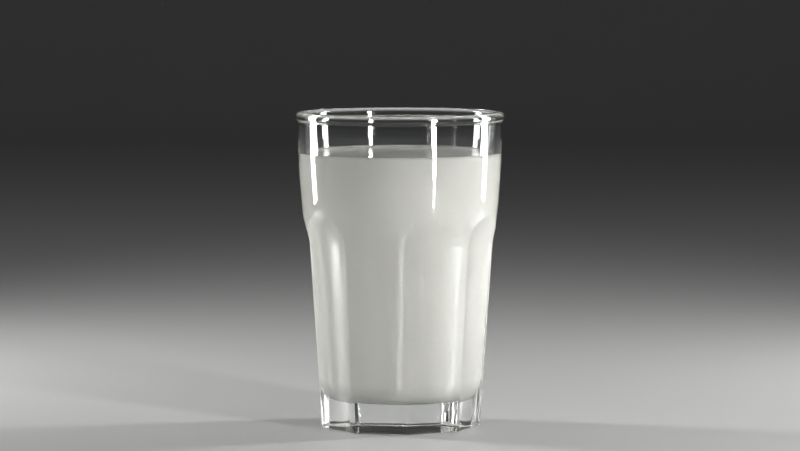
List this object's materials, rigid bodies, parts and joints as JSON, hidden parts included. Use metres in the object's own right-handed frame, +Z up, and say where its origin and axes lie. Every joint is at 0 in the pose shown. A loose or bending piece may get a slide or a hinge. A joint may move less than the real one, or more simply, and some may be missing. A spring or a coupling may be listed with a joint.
{
  "type": "glass of milk",
  "caption": "Tall faceted pressed-glass tumbler with arched facet tops, a round band and a beaded rim, filled with milk to a little below the rim.",
  "frame": {"origin": "centre of the foot, on the surface that the glass stands on", "axes": "+Z up along the axis of the glass; the round rim looks the same from every side"},
  "size_m": [0.0924, 0.0924, 0.14],
  "materials": {
    "clear_glass": "clear pressed soda-lime glass, fire polished",
    "milk": "opaque white milk with a wet, smooth surface"
  },
  "bodies": {
    "root": {"tumbler": "clear_glass", "milk": "milk"}
  },
  "joints": []
}
